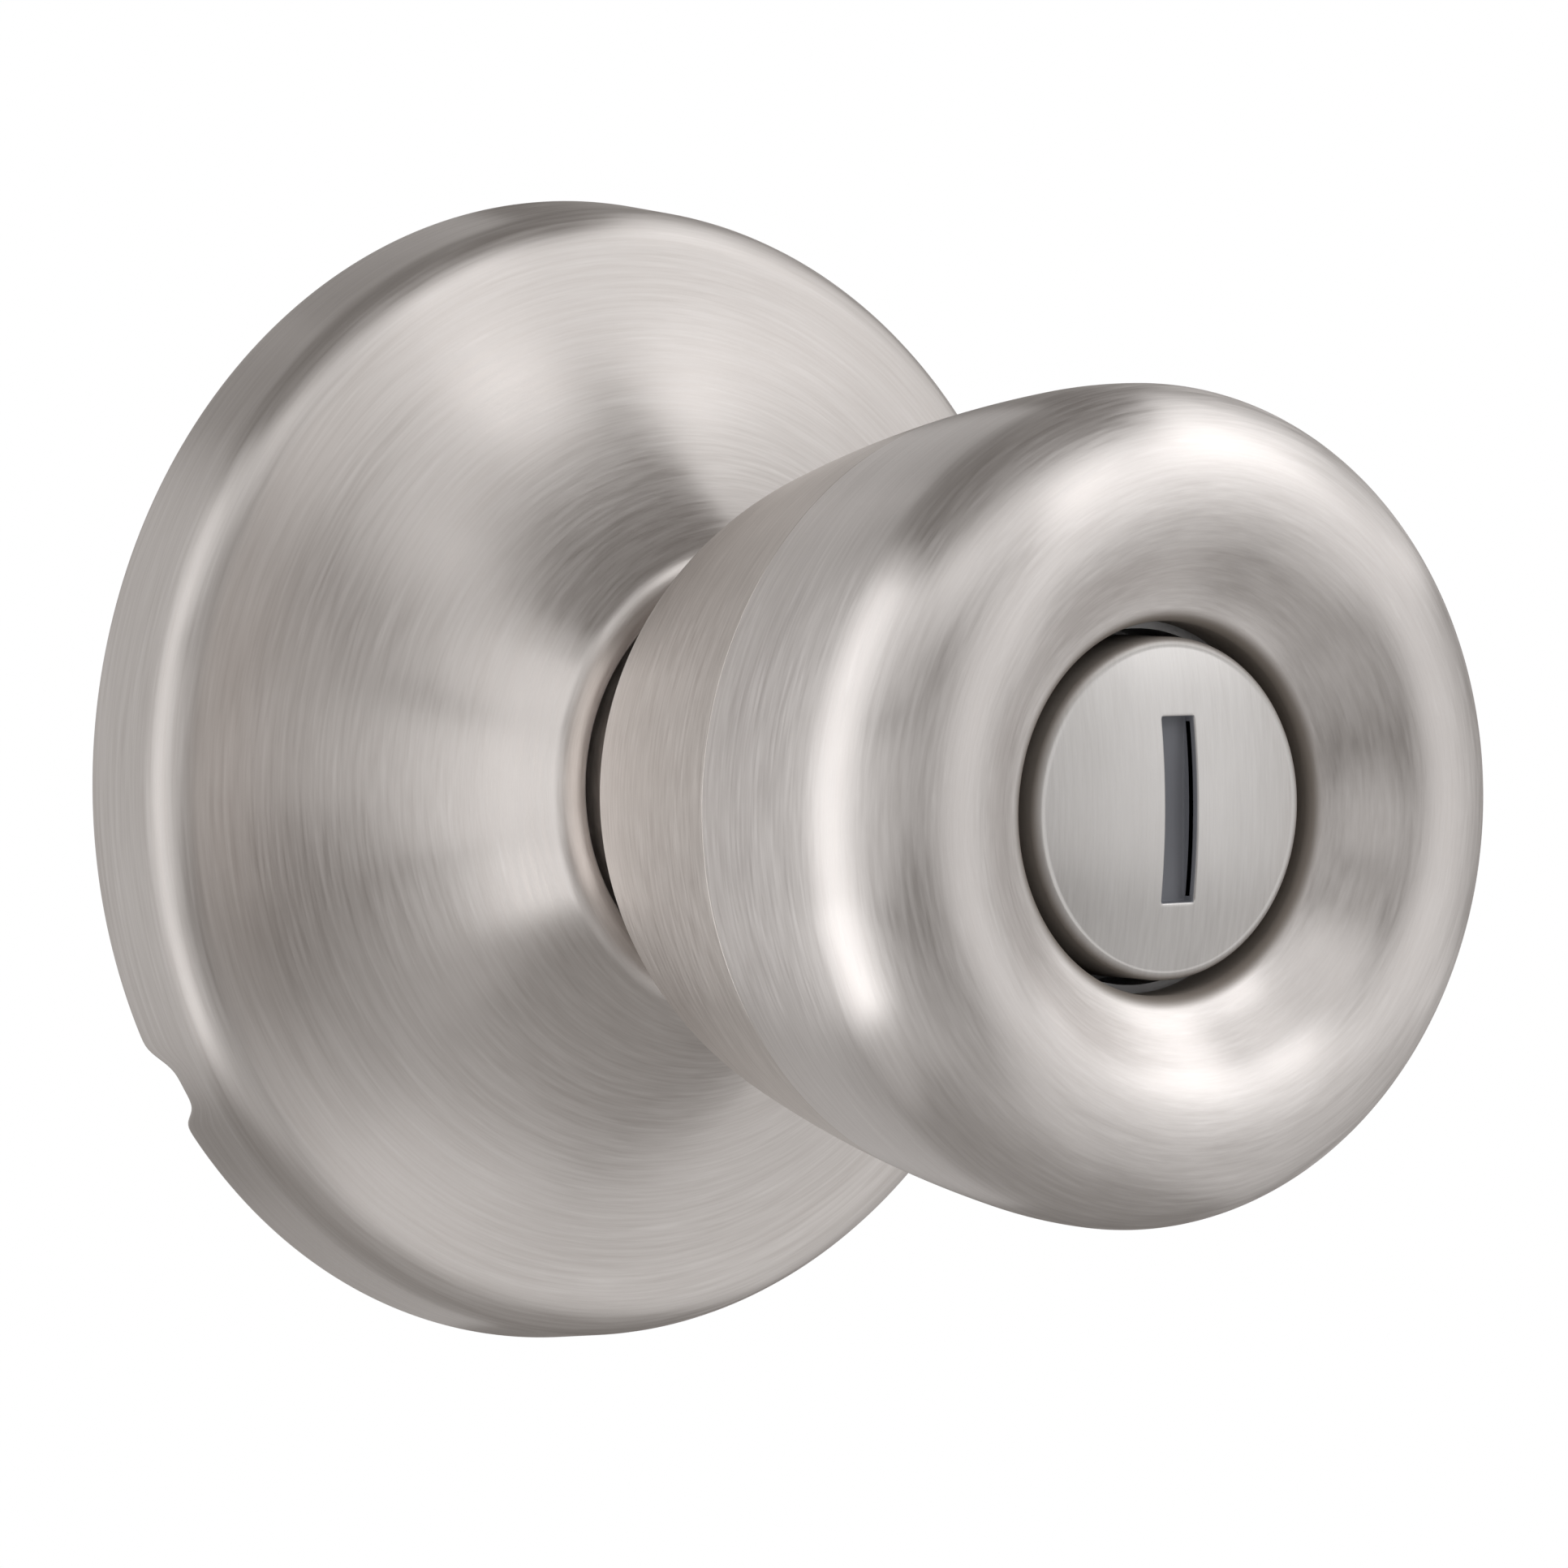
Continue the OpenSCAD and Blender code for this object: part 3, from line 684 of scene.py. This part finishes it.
def painted_gap_shade_group():
    """Painted shade: a dark ring round a gap, 1 within Flat of the Radius, and down to 0 at Reach."""
    tree, given, result = new_group(
        "painted_gap_shade_ring", [("Position", "Vector"), ("Radius", "Float"), ("Flat", "Float"), ("Reach", "Float")],
        [("Shade", "Float")])
    flat = vector_maths(tree, "MULTIPLY", given.outputs["Position"], (1, 0, 1))
    length = tree.nodes.new("ShaderNodeVectorMath")
    length.operation = "LENGTH"
    tree.links.new(flat, length.inputs[0])
    away = maths(tree, "SUBTRACT", length.outputs["Value"], given.outputs["Radius"])
    fade = tree.nodes.new("ShaderNodeMapRange")
    fade.interpolation_type = "SMOOTHSTEP"
    tree.links.new(maths(tree, "ABSOLUTE", away), fade.inputs["Value"])
    tree.links.new(given.outputs["Flat"], fade.inputs["From Min"])
    tree.links.new(given.outputs["Reach"], fade.inputs["From Max"])
    fade.inputs["To Min"].default_value = 1
    fade.inputs["To Max"].default_value = 0
    tree.links.new(fade.outputs[0], result.inputs["Shade"])
    return tree


def painted_slot_shade_group():
    """Mask of the painted shade inside the slot: the larger of |x| - Half Width and |z| - Half Length, 1
    where it is low.
    """
    tree, given, result = new_group(
        "slot_shade", [("Position", "Vector"), ("Half Width", "Float"), ("Half Length", "Float")],
        [("Shade", "Float")])
    parts = tree.nodes.new("ShaderNodeSeparateXYZ")
    tree.links.new(given.outputs["Position"], parts.inputs[0])
    beside = maths(tree, "SUBTRACT", maths(tree, "ABSOLUTE", parts.outputs["X"]),
                   given.outputs["Half Width"])
    beyond = maths(tree, "SUBTRACT", maths(tree, "ABSOLUTE", parts.outputs["Z"]),
                   given.outputs["Half Length"])
    outside = maths(tree, "MAXIMUM", beside, beyond)
    tree.links.new(spread(tree, outside, 0.01 * MM, 0.06 * MM, 1, 0), result.inputs["Shade"])
    return tree


GROUPS = {
    "painted_gap_shade_ring": painted_gap_shade_group(),
    "slot": painted_slot_shade_group(),
    "turned": turned_grain_group(),
    "straight": straight_grain_group(),
    "handling": handling_group(),
    "pebble": pebble_group(),
}


def start_material(name):
    """New material with nodes: gives it, its tree, its Principled node and Object coordinates."""
    material = bpy.data.materials.new(name)
    material.use_nodes = True
    tree = material.node_tree
    shader = tree.nodes["Principled BSDF"]
    place = tree.nodes.new("ShaderNodeTexCoord")
    mapping = tree.nodes.new("ShaderNodeMapping")
    tree.links.new(place.outputs["Object"], mapping.inputs["Vector"])
    return material, tree, shader, mapping.outputs[0]


def mix_colour(tree, share, a, b):
    """Colour between a and b by a share."""
    node = tree.nodes.new("ShaderNodeMix")
    node.data_type = "RGBA"
    tree.links.new(share, node.inputs[0])
    for socket, value in ((node.inputs[6], a), (node.inputs[7], b)):
        feed(tree, socket, value if isinstance(value, bpy.types.NodeSocket) else (*value, 1))
    return node.outputs[2]


def bump(tree, shader, height, strength, depth):
    """Feeds a height into the shader's normal; depth is in metres."""
    node = tree.nodes.new("ShaderNodeBump")
    node.inputs["Strength"].default_value = strength
    node.inputs["Distance"].default_value = depth
    tree.links.new(height, node.inputs["Height"])
    tree.links.new(node.outputs[0], shader.inputs["Normal"])


ROSE_TONES = ((0.76, 0.718, 0.692), (0.93, 0.893, 0.872))
# The rear shell's tones are darker and warmer than the front shell's: painted shade on the cone, which
# faces back towards the door.
REAR_TONES = ((0.70, 0.652, 0.618), (0.89, 0.843, 0.81))
FRONT_TONES = ((0.78, 0.742, 0.722), (0.95, 0.915, 0.898))
PLUG_TONES = ((0.76, 0.742, 0.73), (0.90, 0.885, 0.875))
# dark brown of the painted shade round the plug's gap
PAINTED_GAP_SHADE_TONE = (0.20, 0.163, 0.13)
# flat dark blue grey of the painted shade inside the slot
SLOT_PAINTED_SHADE_TONE = (0.29, 0.30, 0.335)


GRAIN_LINES = 3600
GRAIN_ROUGHNESS = 0.33
GRAIN_PULL = 0.86
GRAIN_RELIEF = 0.12
GRAIN_DEPTH = 0.00002
PEBBLE_RELIEF = 0.35
# how far the painted shade round the plug's gap darkens the nickel
PAINTED_GAP_SHADE_STRENGTH = 0.85
# radius, flat half width and reach of the ring of painted shade round the plug, in metres
FRONT_GAP = (0.00995, 0.0004, 0.0011)
PLUG_GAP = (0.0099, 0.0004, 0.0012)


def brushed_nickel(name, kind, sweep, roughness, pull, tones, gap):
    """Brushed nickel: mirror lobes stretched across the grain, by an Anisotropic of pull, with the grain's
    lines in colour, roughness and bump. gap is the ring of painted shade round the plug, or None."""
    material, tree, shader, place = start_material(name)
    if kind == "turned":
        uv = tree.nodes.new("ShaderNodeUVMap")
        uv.uv_map = "outline"
        along = tree.nodes.new("ShaderNodeSeparateXYZ")
        tree.links.new(uv.outputs[0], along.inputs[0])
        grain = use_group(tree, GROUPS["turned"], position=place, along=along.outputs["X"],
                          density=GRAIN_LINES, sweep=sweep)
    else:
        grain = use_group(tree, GROUPS["straight"], position=place, density=GRAIN_LINES, sweep=sweep)
    marks = use_group(tree, GROUPS["handling"], position=place, scale=110)
    share = maths(tree, "ADD", maths(tree, "MULTIPLY", grain.outputs["Fine"], 0.72),
                  maths(tree, "MULTIPLY", grain.outputs["Broad"], 0.28))
    share = maths(tree, "ADD", share, maths(tree, "MULTIPLY", grain.outputs["Scratch"], 0.25))
    colour = mix_colour(tree, share, *tones)
    rough = maths(tree, "ADD", maths(tree, "MULTIPLY", grain.outputs["Fine"], 0.08),
                  maths(tree, "MULTIPLY", marks.outputs["Marks"], 0.03))
    rough = maths(tree, "ADD", rough, roughness - 0.055)
    metal = 1.0
    # painted shade: round the plug's gap the nickel turns dark brown, rougher and less metallic
    if gap:
        ring = use_group(tree, GROUPS["painted_gap_shade_ring"], position=place, radius=gap[0], flat=gap[1],
                         reach=gap[2])
        painted_gap_shade = maths(tree, "MULTIPLY", ring.outputs[0], PAINTED_GAP_SHADE_STRENGTH)
        colour = mix_colour(tree, painted_gap_shade, colour, PAINTED_GAP_SHADE_TONE)
        rough = maths(tree, "ADD", rough, maths(tree, "MULTIPLY", painted_gap_shade, 0.2))
        metal = maths(tree, "SUBTRACT", metal, painted_gap_shade)
    # painted shade: the inside of the slot takes a flat dark blue grey that is rough and not metallic
    if kind == "straight":
        slot = use_group(tree, GROUPS["slot"], position=place, half_width=0.5 * SLOT_W * MM,
                         half_length=0.5 * SLOT_L * MM).outputs[0]
        colour = mix_colour(tree, slot, colour, SLOT_PAINTED_SHADE_TONE)
        rough = maths(tree, "MAXIMUM", rough, maths(tree, "MULTIPLY", slot, 0.6))
        metal = maths(tree, "MULTIPLY", metal, maths(tree, "SUBTRACT", 1.0, slot))
    feed(tree, shader.inputs["Metallic"], metal)
    tree.links.new(colour, shader.inputs["Base Color"])
    tree.links.new(rough, shader.inputs["Roughness"])
    bump(tree, shader, grain.outputs["Fine"], GRAIN_RELIEF, GRAIN_DEPTH)
    shader.inputs["Anisotropic"].default_value = pull
    tangent = tree.nodes.new("ShaderNodeTangent")
    tangent.direction_type = "UV_MAP"
    tangent.uv_map = "outline"
    tree.links.new(tangent.outputs[0], shader.inputs["Tangent"])
    return material


def plated(name, light, dark, roughness, scale, relief=0.00003, metallic=1.0):
    """Plated, cast or moulded part: blotchy tone, pebbled bump, and a duller finish in the blotches."""
    material, tree, shader, place = start_material(name)
    grain = use_group(tree, GROUPS["pebble"], position=place, scale=scale)
    marks = use_group(tree, GROUPS["handling"], position=place, scale=160)
    share = maths(tree, "ADD", maths(tree, "MULTIPLY", grain.outputs["Blotch"], 0.6),
                  maths(tree, "MULTIPLY", marks.outputs["Marks"], 0.4))
    tree.links.new(mix_colour(tree, share, light, dark), shader.inputs["Base Color"])
    tree.links.new(spread(tree, share, 0, 1, roughness - 0.05, roughness + 0.08),
                   shader.inputs["Roughness"])
    bump(tree, shader, grain.outputs["Height"], PEBBLE_RELIEF, relief)
    shader.inputs["Metallic"].default_value = metallic
    return material


MATERIALS = {
    "rose_nickel": brushed_nickel("rose_nickel", "turned", 4, GRAIN_ROUGHNESS, GRAIN_PULL,
                                  ROSE_TONES, None),
    "rear_nickel": brushed_nickel("rear_nickel", "turned", 7, GRAIN_ROUGHNESS, GRAIN_PULL,
                                  REAR_TONES, None),
    "front_nickel": brushed_nickel("front_nickel", "turned", 5, GRAIN_ROUGHNESS, GRAIN_PULL,
                                   FRONT_TONES, FRONT_GAP),
    "plug_nickel": brushed_nickel("plug_nickel", "straight", 260, 0.36, 0.7, PLUG_TONES, PLUG_GAP),
    "zinc_steel": plated("zinc_steel", (0.60, 0.615, 0.63), (0.54, 0.55, 0.56), 0.34, 2600),
    "spring_steel": plated("spring_steel", (0.30, 0.30, 0.31), (0.20, 0.20, 0.21), 0.42, 3400),
    "cast_zinc": plated("cast_zinc", (0.55, 0.55, 0.55), (0.42, 0.42, 0.43), 0.52, 1500, 0.00008),
    "nylon": plated("nylon", (0.80, 0.78, 0.72), (0.72, 0.70, 0.64), 0.55, 3000, 0.00002, 0.0),
}


def finish_nodes():
    """Every CAD node gets the material of its slot in the record. Those of satin nickel are hidden
    by the pieces drawn here, and take plain zinc."""
    slots = {part["node"]: part["material_slot"] for part in frame["record"]["subparts"]}
    for name, node in frame["nodes"].items():
        node.data.materials.clear()
        node.data.materials.append(MATERIALS.get(slots[name], MATERIALS["zinc_steel"]))


def light_collections(rose, turning):
    """Sorts the pieces into the collections that some of the lights are kept to. Every CAD part is
    hardware, and gets the door side's lights as well."""
    LIT["door_side"].objects.link(rose)
    for piece in turning:
        LIT["knob_side"].objects.link(piece)
    for node in frame["nodes"].values():
        LIT["hardware"].objects.link(node)
        LIT["door_side"].objects.link(node)


def make_floor():
    """Round pale floor, as far below the knob as on a door: a fan of triangles inside a rim."""
    angles = even_angles(FLOOR_SIDES)
    rim = FLOOR_R * np.stack([np.cos(angles), np.sin(angles), 0 * angles], -1)
    points = np.vstack([[0, 0, 0], rim]) + [0, 0, FLOOR_Z]
    k = np.arange(FLOOR_SIDES)
    faces = np.stack([0 * k, 1 + k, 1 + (k + 1) % FLOOR_SIDES], -1).tolist()
    mesh = bpy.data.meshes.new("floor")
    mesh.from_pydata(points, [], faces)
    floor = bpy.data.objects.new("floor", mesh)
    bpy.context.scene.collection.objects.link(floor)
    material, tree, shader, place = start_material("floor_paint")
    tree.links.new(mix_colour(tree, noise(tree, place, 9), (0.80, 0.79, 0.78), (0.84, 0.83, 0.82)),
                   shader.inputs["Base Color"])
    shader.inputs["Roughness"].default_value = 0.8
    mesh.materials.append(material)


# ---------------------------------------------------------------- the knob

make_floor()
finish_nodes()
rose = make_rose()
rear_shell = make_rear_shell()
front_shell = make_front_shell()
plug = make_plug()
for piece, finish in ((rose, "rose_nickel"), (rear_shell, "rear_nickel"),
                      (front_shell, "front_nickel"), (plug, "plug_nickel")):
    piece.data.materials.append(MATERIALS[finish])
light_collections(rose, (rear_shell, front_shell, plug))
